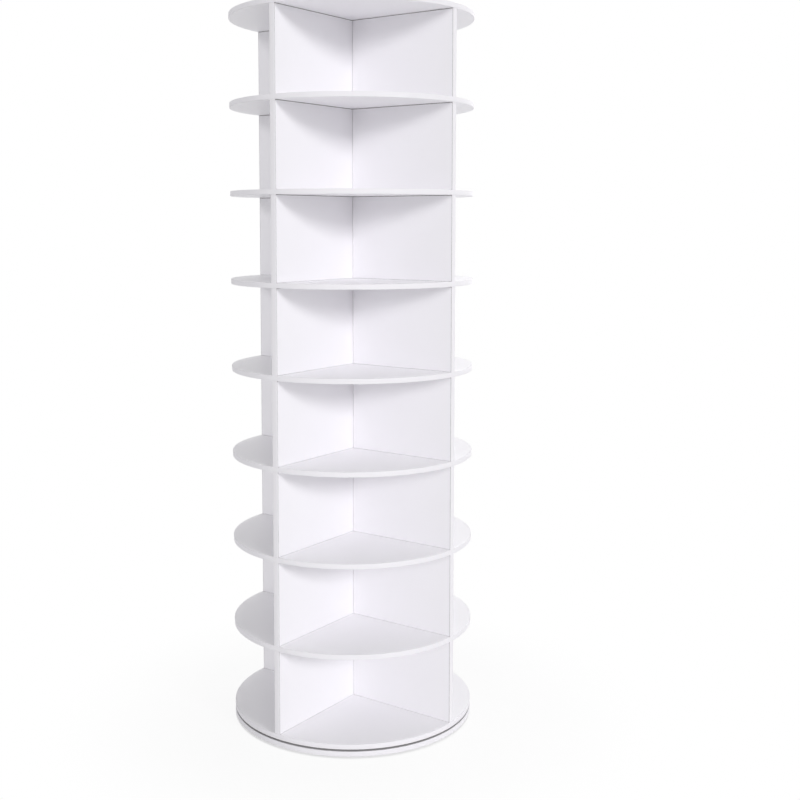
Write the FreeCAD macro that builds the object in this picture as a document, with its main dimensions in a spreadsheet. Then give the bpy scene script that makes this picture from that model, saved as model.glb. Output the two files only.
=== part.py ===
"""Rotating shoe tower: round shelves on crossed dividers, turning on a ball-bearing base.

Millimetres, +Z up, origin on the floor under the turning axis.  Of each tier's crossed
dividers the long one runs along Y and the two short ones along +X and -X.
"""
import FreeCAD, Part
import os
import re
import Sketcher

# Driving dimensions, each written once.
SIZES = [
    # round boards
    ("shelf_diameter", 600),
    ("shelf_thickness", 12),
    ("base_thickness", 12),
    ("shelf_gap", 5),
    # tiers and dividers
    ("tier_count", 8),
    ("tier_clearance", 202),
    ("divider_thickness", 15),
    ("divider_setback", 1.5),
    # edge banding
    ("band_thickness", 1),
    ("band_round", 0.6),
    # feet
    ("foot_count", 8),
    ("foot_height", 5),
    ("foot_top_diameter", 30),
    ("foot_bottom_diameter", 26),
    ("foot_inset", 45),
    # turntable bearing
    ("bearing_diameter", 180),
    ("bearing_recess", 3),
    ("recess_clearance", 0.5),
    ("ring_width", 14),
    ("ring_lift", 0.8),
    ("ring_screw_count", 8),
    ("race_gap", 2),
    ("race_to_screw", 8.5),
    ("ball_count", 24),
    ("ball_diameter", 5),
    ("ball_clearance", 0.1),
    ("cage_thickness", 1.4),
    ("cage_side_clearance", 0.8),
    ("access_hole_diameter", 11),
    # wood screws
    ("screw_diameter", 3.5),
    ("screw_grip", 7),
    ("countersunk_diameter", 7),
    ("countersunk_height", 2),
    ("pan_head_diameter", 7.5),
    ("pan_head_height", 2.2),
    ("pan_head_recess", 2.8),
    ("screw_clearance", 0.05),
    # cam locks, their caps and bolts
    ("bolt_distance", 170),
    ("bolt_diameter", 6),
    ("bolt_neck_diameter", 3.8),
    ("bolt_head_diameter", 6.4),
    ("bolt_head_length", 4.1),
    ("bolt_hole_clearance", 0.5),
    ("bolt_thread_diameter", 5),
    ("cam_setback", 24),
    ("cam_diameter", 14.8),
    ("cam_hole_clearance", 0.1),
    ("cam_height", 12),
    ("cam_sink", 0.5),
    ("cam_room", 0.2),
    ("driver_recess_diameter", 6.4),
    ("driver_recess_depth", 1.5),
    ("cap_diameter", 17),
    ("cap_thickness", 0.8),
    ("cap_plug_diameter", 6),
    ("cap_plug_depth", 1.4),
    # dowels and blind holes
    ("dowel_distance", 250),
    ("dowel_diameter", 7.9),
    ("dowel_clearance", 0.05),
    ("dowel_depth", 12),
    ("dowel_chamfer", 0.8),
    ("centre_dowel_height", 60),
    ("blind_depth", 9),
    ("hole_end_gap", 0.5),
]

# Sizes and places worked out from the driving dimensions, kept as formulas.  The base is
# as wide as the shelves, and each tier's dividers have four arms.
BASE_DIAMETER = "shelf_diameter"
ARMS = "4"
PITCH = "(tier_clearance + shelf_thickness)"
BASE_TOP = "(foot_height + base_thickness)"
BOTTOM_SHELF = f"({BASE_TOP} + shelf_gap)"
FIRST_FLOOR = f"({BOTTOM_SHELF} + shelf_thickness)"
FIRST_MIDDLE = f"({FIRST_FLOOR} + tier_clearance / 2)"
TOP_CEILING = f"({FIRST_FLOOR} + tier_count * {PITCH} - shelf_thickness)"
TOWER_MIDDLE = f"(({FIRST_FLOOR} + {TOP_CEILING}) / 2)"
HALF_TOWER = f"(({TOP_CEILING} - {FIRST_FLOOR}) / 2)"
HALF_TIER = "(tier_clearance / 2)"
HALF_DIVIDER = "(divider_thickness / 2)"
DIVIDER_END = "(shelf_diameter / 2 - divider_setback)"
BOARD_END = f"({DIVIDER_END} - band_thickness)"
FOOT_CIRCLE = f"({BASE_DIAMETER} / 2 - foot_inset)"
RECESS_FLOOR = f"({BASE_TOP} - bearing_recess)"
RING_HEIGHT = "(bearing_recess + shelf_gap - ring_lift)"
BALL_LEVEL = f"(({RECESS_FLOOR} + {BOTTOM_SHELF}) / 2)"
OUTER_RACE = "(bearing_diameter / 2 + race_gap / 2)"
INNER_RACE = "(bearing_diameter / 2 - race_gap / 2)"
OUTER_SCREWS = f"({OUTER_RACE} + race_to_screw)"
INNER_SCREWS = f"({INNER_RACE} - race_to_screw)"
PILOT_RADIUS = "(screw_diameter / 2 + screw_clearance)"
BOLT_HOLE_RADIUS = "(bolt_diameter / 2 + bolt_hole_clearance)"
THREAD_HOLE_RADIUS = "(bolt_thread_diameter / 2 + screw_clearance)"
DOWEL_HOLE_RADIUS = "(dowel_diameter / 2 + dowel_clearance)"
CENTRE_CAM = f"({HALF_DIVIDER} + cam_setback)"

doc = FreeCAD.newDocument("ShoeTower")
sheet = doc.addObject("Spreadsheet::Sheet", "Sizes")
nodes = []


def fill_sheet():
    """Write every driving dimension to the sheet, its name beside it as the alias."""
    for row, (name, size) in enumerate(SIZES, start=1):
        sheet.set(f"A{row}", name)
        sheet.set(f"B{row}", str(size))
        sheet.setAlias(f"B{row}", name)
    doc.recompute()


def bound(formula):
    """Point each size named in a formula at its cell in the sheet."""
    return re.sub(r"\b([a-z][a-z_]+)\b", r"Sizes.\1", str(formula))


def value(formula):
    """The present value of a formula."""
    return float(sheet.evalExpression(bound(formula)))


def bind(thing, prop, formula):
    """Tie a property of an object to a formula."""
    thing.setExpression(prop, bound(formula))


# ---- sketches ---------------------------------------------------------------------------

def new_body(label, level="0"):
    """A body whose origin stands at the given height on the turning axis."""
    body = doc.addObject("PartDesign::Body", label)
    body.Label = label
    bind(body, "Placement.Base.z", level)
    return body


def origin_part(body, role):
    """One of the body's own origin planes or axes."""
    return next(item for item in body.Origin.OriginFeatures if item.Role == role)


def sketch_on(body, role, shift=("0", "0", "0")):
    """A sketch on an origin plane, its own origin shifted in the plane's own axes."""
    sketch = body.newObject("Sketcher::SketchObject", "Sketch")
    sketch.AttachmentSupport = (origin_part(body, role), [""])
    sketch.MapMode = "FlatFace"
    for axis, formula in zip("xyz", shift):
        bind(sketch, f"AttachmentOffset.Base.{axis}", formula)
    return sketch


def size_constraint(sketch, size, *place):
    """Add one dimension to a sketch and tie it to its formula."""
    kind, *where = place
    index = sketch.addConstraint(Sketcher.Constraint(kind, *where, value(size)))
    bind(sketch, f"Constraints[{index}]", size)


def add_circle(sketch, across, up, radius):
    """A circle whose centre and radius follow their formulas."""
    centre = FreeCAD.Vector(value(across), value(up), 0)
    circle = sketch.addGeometry(Part.Circle(centre, FreeCAD.Vector(0, 0, 1), value(radius)), False)
    size_constraint(sketch, across, "DistanceX", circle, 3)
    size_constraint(sketch, up, "DistanceY", circle, 3)
    size_constraint(sketch, radius, "Radius", circle)


def add_outline(sketch, corners):
    """A closed outline of straight lines through corners that follow their formulas."""
    points = [FreeCAD.Vector(value(across), value(up), 0) for across, up in corners]
    ends = points[1:] + points[:1]
    lines = [sketch.addGeometry(Part.LineSegment(a, b), False) for a, b in zip(points, ends)]
    for line, following in zip(lines, lines[1:] + lines[:1]):
        sketch.addConstraint(Sketcher.Constraint("Coincident", line, 2, following, 1))
    for line, (across, up) in zip(lines, corners):
        size_constraint(sketch, across, "DistanceX", line, 1)
        size_constraint(sketch, up, "DistanceY", line, 1)


def add_rectangle(sketch, left, right, low, high):
    """A rectangle between two widths and two heights."""
    add_outline(sketch, [(left, low), (right, low), (right, high), (left, high)])


# ---- features ---------------------------------------------------------------------------

def extrude(body, kind, sketch, length, reverse=False, both_ways=False):
    """A Pad along the sketch's normal, or a Pocket against it, unless reversed."""
    feature = body.newObject(f"PartDesign::{kind}", kind)
    feature.Profile = sketch
    feature.Reversed = reverse
    feature.Midplane = both_ways
    bind(feature, "Length", length)
    body.Tip = feature
    return feature


def turn(body, kind, sketch, axis="V_Axis"):
    """A Revolution or a Groove right round one axis of the sketch."""
    feature = body.newObject(f"PartDesign::{kind}", kind)
    feature.Profile = sketch
    feature.ReferenceAxis = (sketch, [axis])
    feature.Angle = 360
    body.Tip = feature
    return feature


def add_pattern(body, kind, feature=None):
    """An empty pattern of one feature, or of the whole body if none is given."""
    doc.recompute()
    pattern = body.newObject(f"PartDesign::{kind}", kind)
    if feature:
        pattern.Originals = [feature]
    else:
        pattern.TransformMode = "Whole shape"
    pattern.Refine = True
    body.Tip = pattern
    return pattern


def repeat_round(body, count, feature=None):
    """Repeat evenly round the body's Z axis."""
    pattern = add_pattern(body, "PolarPattern", feature)
    pattern.Axis = (origin_part(body, "Z_Axis"), [""])
    pattern.Angle = 360
    bind(pattern, "Occurrences", count)


def repeat_up(body, count, spacing):
    """Repeat the whole body upwards at an even spacing."""
    pattern = add_pattern(body, "LinearPattern")
    pattern.Direction = (origin_part(body, "Z_Axis"), [""])
    bind(pattern, "Length", f"({count} - 1) * {spacing}")
    bind(pattern, "Occurrences", count)


def mirror(body, role):
    """Add the body's own mirror image in one of its origin planes."""
    pattern = add_pattern(body, "Mirrored")
    pattern.MirrorPlane = (origin_part(body, role), [""])


def round_edges(body, radius, chosen):
    """Fillet the edges of the body so far that the given test chooses."""
    doc.recompute()
    base = body.Tip
    names = [f"Edge{i}" for i, edge in enumerate(base.Shape.Edges, start=1) if chosen(edge)]
    fillet = body.newObject("PartDesign::Fillet", "Fillet")
    fillet.Base = (base, names)
    bind(fillet, "Radius", radius)
    body.Tip = fillet


def turned_piece(body, corners, shift=("0", "0", "0"), axis="V_Axis"):
    """A turned solid from its half outline, each corner given across and up the XZ plane."""
    sketch = sketch_on(body, "XZ_Plane", shift)
    add_outline(sketch, corners)
    return turn(body, "Revolution", sketch, axis)


def drill(body, circle_radius, radius, level, depth, count, upwards=False):
    """Round holes along Z, evenly spaced on a circle, from a level down or up."""
    sketch = sketch_on(body, "XY_Plane", ("0", "0", level))
    add_circle(sketch, circle_radius, "0", radius)
    hole = extrude(body, "Pocket", sketch, depth, reverse=upwards)
    repeat_round(body, count, hole)


def as_node(thing, label=None):
    """List an object as one of the tower's own parts."""
    thing.Label = label or thing.Label
    nodes.append(thing)
    return thing


def copy_of(original, label, level):
    """Another part of the same make, at its own height."""
    body = new_body(label, level)
    copy = body.newObject("PartDesign::FeatureBase", "Clone")
    copy.BaseFeature = original
    body.Tip = copy
    return as_node(body)


def group(label, members):
    """One part made of several bodies of like pieces."""
    compound = doc.addObject("Part::Compound", label)
    compound.Links = members
    return as_node(compound)


# ---- round boards -----------------------------------------------------------------------

def round_board(label, level, diameter, thickness):
    """A round board up to the inside of its edge band."""
    body = new_body(label, level)
    sketch = sketch_on(body, "XY_Plane")
    add_circle(sketch, "0", "0", f"{diameter} / 2 - band_thickness")
    extrude(body, "Pad", sketch, thickness)
    return as_node(body)


def base_disc():
    """The board that stands on the floor: recessed for the bearing, drilled for its screws."""
    body = round_board("base_disc", "foot_height", BASE_DIAMETER, "base_thickness")
    web = "(base_thickness - bearing_recess)"
    recess = sketch_on(body, "XY_Plane", ("0", "0", "base_thickness"))
    add_circle(recess, "0", "0", f"{OUTER_RACE} + ring_width + recess_clearance")
    extrude(body, "Pocket", recess, "bearing_recess")
    drill(body, OUTER_SCREWS, PILOT_RADIUS, web, "screw_grip", "ring_screw_count")
    drill(body, FOOT_CIRCLE, PILOT_RADIUS, "0", "screw_grip", "foot_count", upwards=True)
    access = sketch_on(body, "XY_Plane")
    add_circle(access, INNER_SCREWS, "0", "access_hole_diameter / 2")
    extrude(body, "Pocket", access, web, reverse=True)


def bottom_shelf():
    """The lowest shelf, blind-drilled for the dividers above and the bearing below."""
    body = round_board("bottom_shelf", BOTTOM_SHELF, "shelf_diameter", "shelf_thickness")
    depth = "blind_depth + hole_end_gap"
    drill(body, "bolt_distance", THREAD_HOLE_RADIUS, "shelf_thickness", depth, ARMS)
    drill(body, "dowel_distance", DOWEL_HOLE_RADIUS, "shelf_thickness", depth, ARMS)
    drill(body, INNER_SCREWS, PILOT_RADIUS, "0", "screw_grip", "ring_screw_count", upwards=True)


def middle_shelves(numbers):
    """The shelves between the tiers, drilled right through for bolts and dowels."""
    levels = {number: f"{BOTTOM_SHELF} + {number} * {PITCH}" for number in numbers}
    body = round_board("shelf_1", levels.pop(1), "shelf_diameter", "shelf_thickness")
    drill(body, "bolt_distance", BOLT_HOLE_RADIUS, "shelf_thickness", "shelf_thickness", ARMS)
    drill(body, "dowel_distance", DOWEL_HOLE_RADIUS, "shelf_thickness", "shelf_thickness", ARMS)
    for number, level in levels.items():
        copy_of(body, f"shelf_{number}", level)


def top_disc():
    """The top board, blind-drilled from below so that its upper face is plain."""
    body = round_board("top_disc", TOP_CEILING, "shelf_diameter", "shelf_thickness")
    depth = "blind_depth + hole_end_gap"
    drill(body, "bolt_distance", THREAD_HOLE_RADIUS, "0", depth, ARMS, upwards=True)
    drill(body, "dowel_distance", DOWEL_HOLE_RADIUS, "0", depth, ARMS, upwards=True)


def rim_band(label, level, diameter, thickness):
    """The band glued round a round board, its two outer edges rounded over."""
    body = new_body(label, level)
    sketch = sketch_on(body, "XY_Plane")
    add_circle(sketch, "0", "0", f"{diameter} / 2")
    add_circle(sketch, "0", "0", f"{diameter} / 2 - band_thickness")
    extrude(body, "Pad", sketch, thickness)
    outer = value(f"{diameter} / 2")
    round_edges(body, "band_round",
                lambda edge: isinstance(edge.Curve, Part.Circle) and abs(edge.Curve.Radius - outer) < 0.01)
    return as_node(body)


def rim_bands():
    """One band round the base, and one round each shelf and the top."""
    rim_band("base_edge_band", "foot_height", BASE_DIAMETER, "base_thickness")
    bands = rim_band("shelf_edge_bands", BOTTOM_SHELF, "shelf_diameter", "shelf_thickness")
    repeat_up(bands, "(tier_count + 1)", PITCH)


# ---- dividers ---------------------------------------------------------------------------

def divider_lower_half(body, role, inner_end, edge_hole):
    """The lower half of a divider from its inner end outwards, with its edge fittings' holes.

    The sketch plane lies in the middle of the board; edge_hole turns a distance along the
    board into a place on the XY plane.
    """
    board = sketch_on(body, role)
    add_rectangle(board, inner_end, BOARD_END, f"-{HALF_TIER}", "0")
    extrude(body, "Pad", board, "divider_thickness", both_ways=True)
    for distance, radius, depth in (
        ("bolt_distance", BOLT_HOLE_RADIUS, "cam_setback"),
        ("dowel_distance", DOWEL_HOLE_RADIUS, "dowel_depth + hole_end_gap"),
    ):
        hole = sketch_on(body, "XY_Plane", ("0", "0", f"-{HALF_TIER}"))
        add_circle(hole, *edge_hole(distance), radius)
        extrude(body, "Pocket", hole, depth, reverse=True)
    cam_hole(body, role, "bolt_distance", f"cam_setback - {HALF_TIER}")


def cam_hole(body, role, across, up):
    """A flat-bottomed hole for a cam lock, from the divider's cam face."""
    sketch = sketch_on(body, role, ("0", "0", f"-{HALF_DIVIDER}"))
    add_circle(sketch, across, up, "cam_diameter / 2 + cam_hole_clearance")
    extrude(body, "Pocket", sketch, "cam_height + cam_sink", reverse=True)


def long_divider():
    """The first tier's divider right across, drilled in the middle for the centre joint."""
    body = new_body("long_divider_1", FIRST_MIDDLE)
    divider_lower_half(body, "YZ_Plane", "0", lambda distance: ("0", distance))
    for up, radius in (("0", BOLT_HOLE_RADIUS), ("-centre_dowel_height", DOWEL_HOLE_RADIUS)):
        hole = sketch_on(body, "YZ_Plane")
        add_circle(hole, "0", up, radius)
        extrude(body, "Pocket", hole, "2 * divider_thickness", both_ways=True)
    mirror(body, "XZ_Plane")
    mirror(body, "XY_Plane")
    return as_node(body)


def short_divider():
    """The first tier's divider from the long one out to the rim, on its right side."""
    body = new_body("right_divider_1", FIRST_MIDDLE)
    divider_lower_half(body, "XZ_Plane", HALF_DIVIDER, lambda distance: (distance, "0"))
    for up, radius, depth in (
        ("0", BOLT_HOLE_RADIUS, "cam_setback"),
        ("-centre_dowel_height", DOWEL_HOLE_RADIUS, "dowel_depth + hole_end_gap"),
    ):
        hole = sketch_on(body, "YZ_Plane", ("0", "0", HALF_DIVIDER))
        add_circle(hole, "0", up, radius)
        extrude(body, "Pocket", hole, depth, reverse=True)
    cam_hole(body, "XZ_Plane", CENTRE_CAM, "0")
    mirror(body, "XY_Plane")
    return as_node(body)


def dividers(tiers):
    """Every tier's crossed dividers; a left one is a right one turned over end to end."""
    turned_over = FreeCAD.Rotation(FreeCAD.Vector(0, 1, 0), 180)
    long_board = long_divider()
    short_board = short_divider()
    for tier in tiers:
        level = f"{FIRST_MIDDLE} + {tier - 1} * {PITCH}"
        if tier > 1:
            copy_of(long_board, f"long_divider_{tier}", level)
            copy_of(short_board, f"right_divider_{tier}", level)
        left = copy_of(short_board, f"left_divider_{tier}", level)
        left.Placement.Rotation = turned_over


def divider_bands():
    """The upright band on the outer end of every divider arm."""
    body = new_body("divider_edge_bands", FIRST_MIDDLE)
    sketch = sketch_on(body, "XY_Plane", ("0", "0", f"-{HALF_TIER}"))
    add_rectangle(sketch, BOARD_END, DIVIDER_END, f"-{HALF_DIVIDER}", HALF_DIVIDER)
    extrude(body, "Pad", sketch, "tier_clearance")
    end = value(DIVIDER_END)
    round_edges(body, "band_round",
                lambda edge: all(abs(vertex.X - end) < 0.01 for vertex in edge.Vertexes)
                and abs(edge.Vertexes[0].Y - edge.Vertexes[-1].Y) < 0.01)
    repeat_round(body, ARMS)
    repeat_up(body, "tier_count", PITCH)
    as_node(body)


# ---- knock-down fittings ----------------------------------------------------------------

def cam_lock(label, role, across, up, slot):
    """One cam lock, its slot for the bolt open downwards or inwards along the divider."""
    body = new_body(label, FIRST_MIDDLE)
    face = f"cam_sink - {HALF_DIVIDER}"
    barrel = sketch_on(body, role, (across, up, face))
    add_circle(barrel, "0", "0", "cam_diameter / 2")
    extrude(body, "Pad", barrel, "cam_height")
    driver = sketch_on(body, role, (across, up, face))
    add_circle(driver, "0", "0", "driver_recess_diameter / 2")
    extrude(body, "Pocket", driver, "driver_recess_depth", reverse=True)
    seat = "(bolt_head_length + cam_room / 2)"
    for half_width, start, end in (
        ("(bolt_head_diameter / 2 + cam_room)", seat, "(-2 * cam_room)"),
        ("(bolt_neck_diameter / 2 + cam_room)", "cam_diameter", seat),
    ):
        sketch = sketch_on(body, role, (across, up, "0"))
        if slot == "down":
            add_rectangle(sketch, f"-{half_width}", half_width, f"-{start}", f"-{end}")
        else:
            add_rectangle(sketch, f"-{start}", f"-{end}", f"-{half_width}", half_width)
        extrude(body, "Pocket", sketch, f"2 * {half_width}", both_ways=True)
    return body


def cam_cap(label, role, across, up):
    """One snap-in cap over a cam lock: a thin disc with a plug in the driver recess."""
    body = new_body(label, FIRST_MIDDLE)
    for diameter, length, outwards in (
        ("cap_diameter", "cap_thickness", True),
        ("cap_plug_diameter", "cap_plug_depth", False),
    ):
        sketch = sketch_on(body, role, (across, up, f"-{HALF_DIVIDER}"))
        add_circle(sketch, "0", "0", f"{diameter} / 2")
        extrude(body, "Pad", sketch, length, reverse=outwards)
    return body


def cam_sets():
    """Cam locks and caps of both kinds of divider: at their edges, and at the centre joint."""
    low = f"(cam_setback - {HALF_TIER})"
    places = (
        ("long", "YZ_Plane", "bolt_distance", low, "down", ("XZ_Plane", "XY_Plane")),
        ("short", "XZ_Plane", "bolt_distance", low, "down", ("YZ_Plane", "XY_Plane")),
        ("centre", "XZ_Plane", CENTRE_CAM, "0", "inwards", ("YZ_Plane",)),
    )
    locks = []
    caps = []
    for name, role, across, up, slot, mirrors in places:
        lock = cam_lock(f"{name}_cam_locks", role, across, up, slot)
        cap = cam_cap(f"{name}_cam_caps", role, across, up)
        for body in (lock, cap):
            for plane in mirrors:
                mirror(body, plane)
            repeat_up(body, "tier_count", PITCH)
        locks.append(lock)
        caps.append(cap)
    group("cam_locks", locks)
    group("cam_caps", caps)


def bolt_end(edge):
    """Radius and distance of a cam bolt's outline from a divider's edge to its head."""
    shoulder = f"{edge} + cam_setback - cam_diameter / 2 - cam_room"
    under_head = f"{edge} + cam_setback - bolt_head_length"
    head_end = f"{edge} + cam_setback"
    return [
        ("bolt_diameter / 2", shoulder),
        ("bolt_neck_diameter / 2", shoulder),
        ("bolt_neck_diameter / 2", under_head),
        ("bolt_head_diameter / 2", under_head),
        ("bolt_head_diameter / 2", head_end),
        ("0", head_end),
    ]


def through_bolts():
    """Double-ended bolts through each middle shelf, from the cams below to those above."""
    body = new_body("through_bolts", f"{FIRST_FLOOR} + tier_clearance + shelf_thickness / 2")
    outline = [("0", "0"), ("bolt_diameter / 2", "0")] + bolt_end("shelf_thickness / 2")
    turned_piece(body, outline, ("bolt_distance", "0", "0"))
    mirror(body, "XY_Plane")
    repeat_round(body, ARMS)
    repeat_up(body, "(tier_count - 1)", PITCH)
    as_node(body)


def end_bolts():
    """Bolts screwed into the bottom shelf and the top disc, one to each arm's cam."""
    body = new_body("end_bolts", TOWER_MIDDLE)
    outline = [
        ("0", "-blind_depth"),
        ("bolt_thread_diameter / 2", "-blind_depth"),
        ("bolt_thread_diameter / 2", "0"),
        ("bolt_diameter / 2", "0"),
    ] + bolt_end("0")
    turned_piece(body, outline, ("bolt_distance", f"-{HALF_TOWER}", "0"))
    mirror(body, "XY_Plane")
    repeat_round(body, ARMS)
    as_node(body)


def centre_bolts():
    """Double-ended bolts through the long divider, holding the short ones against it."""
    body = new_body("centre_bolts", FIRST_MIDDLE)
    outline = [("0", "0"), ("bolt_diameter / 2", "0")] + bolt_end(HALF_DIVIDER)
    lying = [(along, radius) for radius, along in outline]
    turned_piece(body, lying, axis="H_Axis")
    mirror(body, "YZ_Plane")
    repeat_up(body, "tier_count", PITCH)
    as_node(body)


def dowel_outline(low, high):
    """Radius and height of a round dowel with chamfered ends."""
    radius = "dowel_diameter / 2"
    return [
        ("0", low),
        (f"{radius} - dowel_chamfer", low),
        (radius, f"{low} + dowel_chamfer"),
        (radius, f"{high} - dowel_chamfer"),
        (f"{radius} - dowel_chamfer", high),
        ("0", high),
    ]


def through_dowels():
    """Dowels through each middle shelf into the dividers below and above it."""
    body = new_body("through_dowels", f"{FIRST_FLOOR} + tier_clearance + shelf_thickness / 2")
    reach = "(shelf_thickness / 2 + dowel_depth)"
    turned_piece(body, dowel_outline(f"-{reach}", reach), ("dowel_distance", "0", "0"))
    repeat_round(body, ARMS)
    repeat_up(body, "(tier_count - 1)", PITCH)
    as_node(body)


def end_dowels():
    """Dowels between the bottom shelf or top disc and the dividers beside it."""
    body = new_body("end_dowels", TOWER_MIDDLE)
    outline = dowel_outline("-blind_depth", "dowel_depth")
    turned_piece(body, outline, ("dowel_distance", f"-{HALF_TOWER}", "0"))
    mirror(body, "XY_Plane")
    repeat_round(body, ARMS)
    as_node(body)


def centre_dowels():
    """Dowels through the long divider into both short ones, below and above the bolt."""
    body = new_body("centre_dowels", FIRST_MIDDLE)
    reach = f"({HALF_DIVIDER} + dowel_depth)"
    lying = [(along, radius) for radius, along in dowel_outline(f"-{reach}", reach)]
    turned_piece(body, lying, ("0", "-centre_dowel_height", "0"), axis="H_Axis")
    mirror(body, "XY_Plane")
    repeat_up(body, "tier_count", PITCH)
    as_node(body)


# ---- turntable bearing ------------------------------------------------------------------

def countersunk_outline(face, into, spare):
    """Radius and height of a countersunk screw from its flat face; into is 1 up or -1 down."""
    length = f"({RING_HEIGHT} + screw_grip)"
    return [
        ("0", face),
        (f"countersunk_diameter / 2 + {spare}", face),
        (f"screw_diameter / 2 + {spare}", f"{face} + {into} * countersunk_height"),
        (f"screw_diameter / 2 + {spare}", f"{face} + {into} * {length}"),
        ("0", f"{face} + {into} * {length}"),
    ]


def bearing_ring(label, low, inside, outside, screws, face, into):
    """A flat ring with a ball groove in the wall that faces the balls."""
    body = new_body(label)
    high = f"{low} + {RING_HEIGHT}"
    turned_piece(body, [(inside, low), (outside, low), (outside, high), (inside, high)])
    groove = sketch_on(body, "XZ_Plane")
    add_circle(groove, "bearing_diameter / 2", BALL_LEVEL, "ball_diameter / 2 + ball_clearance")
    turn(body, "Groove", groove)
    hole = sketch_on(body, "XZ_Plane", (screws, "0", "0"))
    add_outline(hole, countersunk_outline(face, into, "screw_clearance"))
    repeat_round(body, "ring_screw_count", turn(body, "Groove", hole))
    as_node(body)


def ring_screws(label, screws, face, into):
    """The countersunk wood screws of one ring."""
    body = new_body(label)
    turned_piece(body, countersunk_outline(face, into, "0"), (screws, "0", "0"))
    repeat_round(body, "ring_screw_count")
    as_node(body)


def turntable():
    """The ring on the base, the ring under the bottom shelf, and the caged balls between."""
    outer_face = f"({RECESS_FLOOR} + {RING_HEIGHT})"
    inner_face = f"({RECESS_FLOOR} + ring_lift)"
    bearing_ring("turntable_outer_ring", RECESS_FLOOR, OUTER_RACE, f"{OUTER_RACE} + ring_width",
                 OUTER_SCREWS, outer_face, "-1")
    ring_screws("outer_ring_screws", OUTER_SCREWS, outer_face, "-1")
    bearing_ring("turntable_inner_ring", inner_face, f"{INNER_RACE} - ring_width", INNER_RACE,
                 INNER_SCREWS, inner_face, "1")
    ring_screws("inner_ring_screws", INNER_SCREWS, inner_face, "1")


def ball_cage():
    """A thin upright hoop that spaces the balls, with one round pocket for each."""
    body = new_body("ball_cage", BALL_LEVEL)
    inside = "bearing_diameter / 2 - cage_thickness / 2"
    outside = "bearing_diameter / 2 + cage_thickness / 2"
    half = "((bearing_recess + shelf_gap) / 2 - cage_side_clearance)"
    turned_piece(body, [(inside, f"-{half}"), (outside, f"-{half}"), (outside, half), (inside, half)])
    pocket = sketch_on(body, "YZ_Plane", ("0", "0", "bearing_diameter / 2"))
    add_circle(pocket, "0", "0", "ball_diameter / 2 + ball_clearance")
    hole = extrude(body, "Pocket", pocket, "2 * cage_thickness", both_ways=True)
    repeat_round(body, "ball_count", hole)
    as_node(body)


def bearing_balls():
    """The steel balls, one in each pocket of the cage."""
    body = new_body("bearing_balls", BALL_LEVEL)
    ball = body.newObject("PartDesign::AdditiveSphere", "Ball")
    ball.AttachmentSupport = (origin_part(body, "XY_Plane"), [""])
    ball.MapMode = "FlatFace"
    bind(ball, "AttachmentOffset.Base.x", "bearing_diameter / 2")
    bind(ball, "Radius", "ball_diameter / 2")
    body.Tip = ball
    repeat_round(body, "ball_count")
    as_node(body)


# ---- feet -------------------------------------------------------------------------------

def base_feet():
    """Round tapered feet under the base, counterbored for their screws."""
    body = new_body("base_feet")
    hole = PILOT_RADIUS
    head = "pan_head_diameter / 2 + screw_clearance"
    turned_piece(body, [
        (head, "0"),
        ("foot_bottom_diameter / 2", "0"),
        ("foot_top_diameter / 2", "foot_height"),
        (hole, "foot_height"),
        (hole, "pan_head_recess"),
        (head, "pan_head_recess"),
    ], (FOOT_CIRCLE, "0", "0"))
    repeat_round(body, "foot_count")
    as_node(body)


def foot_screws():
    """Pan-head wood screws that hold the feet, their heads inside the counterbores."""
    body = new_body("foot_screws")
    shank = "screw_diameter / 2"
    head = "pan_head_diameter / 2"
    under = "pan_head_recess - pan_head_height"
    end = "foot_height + screw_grip"
    turned_piece(body, [
        ("0", under),
        (head, under),
        (head, "pan_head_recess"),
        (shank, "pan_head_recess"),
        (shank, end),
        ("0", end),
    ], (FOOT_CIRCLE, "0", "0"))
    repeat_round(body, "foot_count")
    as_node(body)


# ---- assembly ---------------------------------------------------------------------------

def build():
    """Make every part of the tower, from the floor up."""
    fill_sheet()
    tiers = range(1, int(value("tier_count")) + 1)
    base_feet()
    foot_screws()
    base_disc()
    turntable()
    ball_cage()
    bearing_balls()
    bottom_shelf()
    middle_shelves(tiers[:-1])
    top_disc()
    rim_bands()
    dividers(tiers)
    divider_bands()
    cam_sets()
    through_bolts()
    end_bolts()
    centre_bolts()
    through_dowels()
    end_dowels()
    centre_dowels()
    doc.recompute()


def check():
    """Stop if any object failed or any part's shape is empty or faulty."""
    for thing in doc.Objects:
        if "Invalid" in thing.State or "Error" in thing.State:
            raise RuntimeError(f"{thing.Label} failed: {thing.State}")
    for node in nodes:
        if node.Shape.isNull() or not node.Shape.isValid() or not node.Shape.Solids:
            raise RuntimeError(f"{node.Label} has no valid solid")


def write_parts():
    """Write each part to its own STEP file."""
    os.makedirs("parts", exist_ok=True)
    for node in nodes:
        node.Shape.exportStep(f"parts/{node.Label}.step")
        print(f"{node.Label}: {len(node.Shape.Solids)} solids, {node.Shape.Volume:.0f} mm3")


build()
check()
write_parts()
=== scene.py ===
"""Rotating shoe tower: the finish of every piece, and a plain studio to show it in.

Metres, +Z up, origin on the floor under the turning axis.  Each tier's long divider runs
along Y and its two short ones along X, between the long one and the rim.
"""

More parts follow.
